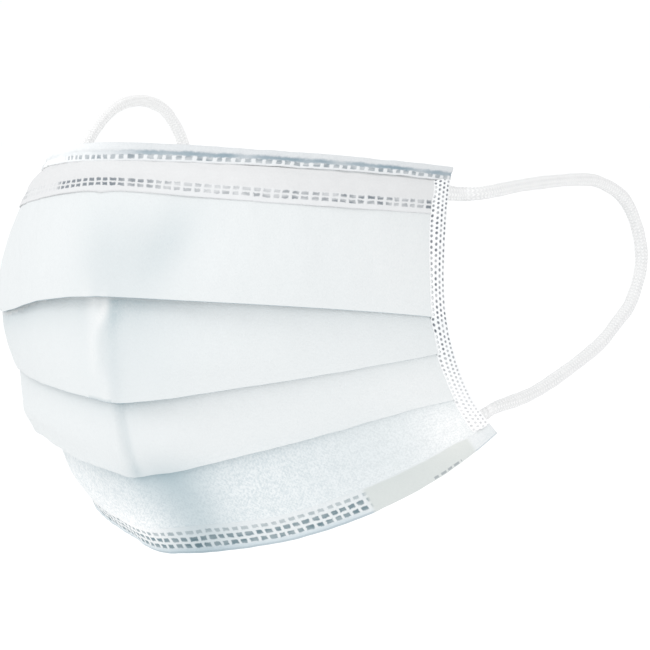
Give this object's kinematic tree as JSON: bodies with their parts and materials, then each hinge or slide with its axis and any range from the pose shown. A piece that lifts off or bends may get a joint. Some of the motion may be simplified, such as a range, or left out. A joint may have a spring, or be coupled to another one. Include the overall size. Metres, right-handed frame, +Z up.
{
  "type": "surgical face mask",
  "caption": "Pleated three-ply face mask in its opened, worn form, with a folded top hem over a nose band, dotted side bindings and two elastic ear loops.",
  "frame": {"origin": "in the open back on the middle plane, 56 mm behind the front of the rim and about halfway between the rim and the bottom edge, where the wearer's face goes in", "axes": "+X to the right as the front is looked at, +Y back towards the wearer, +Z up towards the nose"},
  "size_m": [0.1366, 0.1376, 0.1099],
  "materials": {
    "panel": "matt nonwoven cloth, faintly blue",
    "strip": "matt nonwoven strip with pressed weld dashes",
    "band": "matt nonwoven over a flat nose wire",
    "elastic": "knitted elastic, soft white"
  },
  "bodies": {
    "root": {"pleated_panel": "panel", "top_hem": "strip", "nose_band": "band", "bottom_hem": "strip", "side_binding_right": "strip", "side_binding_left": "strip", "ear_loop_right": "elastic", "ear_loop_left": "elastic"}
  },
  "joints": []
}
